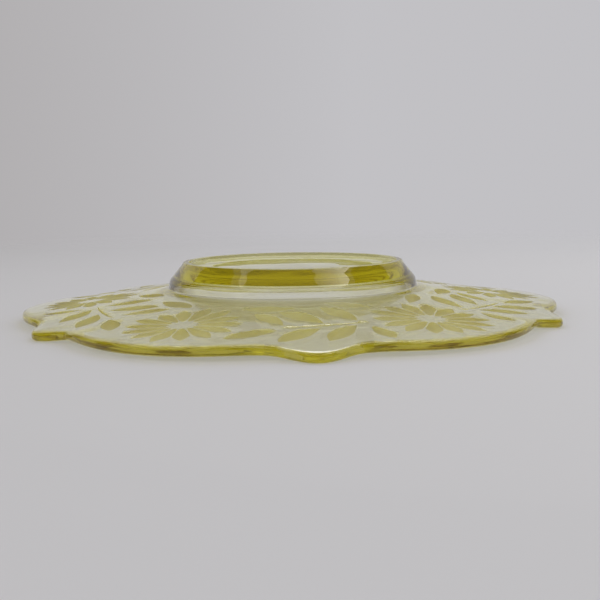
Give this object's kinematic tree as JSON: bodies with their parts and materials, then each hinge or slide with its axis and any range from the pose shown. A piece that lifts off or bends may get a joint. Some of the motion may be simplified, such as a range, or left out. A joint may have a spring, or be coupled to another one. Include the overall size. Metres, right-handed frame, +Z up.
{
  "type": "glass dish",
  "caption": "Shallow round transparent yellow glass dish on a low foot ring, with a lobed rim, small turned-up nubs between the lobes and a wide gently sloping flange around a shallow well.",
  "frame": {"origin": "centre of the foot ring's resting plane, which is the centre of the bottom of the dish's box", "axes": "+Z up, out of the dish's opening, along its axis of six-fold symmetry; one nub of the rim lies on +X and a lobe's middle lies on +Y"},
  "size_m": [0.2528, 0.254, 0.0259],
  "materials": {
    "yellow_glass": "clear transparent yellow glass, fire-polished, with matte wheel-cut flowers and leaves on the flange"
  },
  "bodies": {
    "root": {"dish_body": "yellow_glass"}
  },
  "joints": []
}
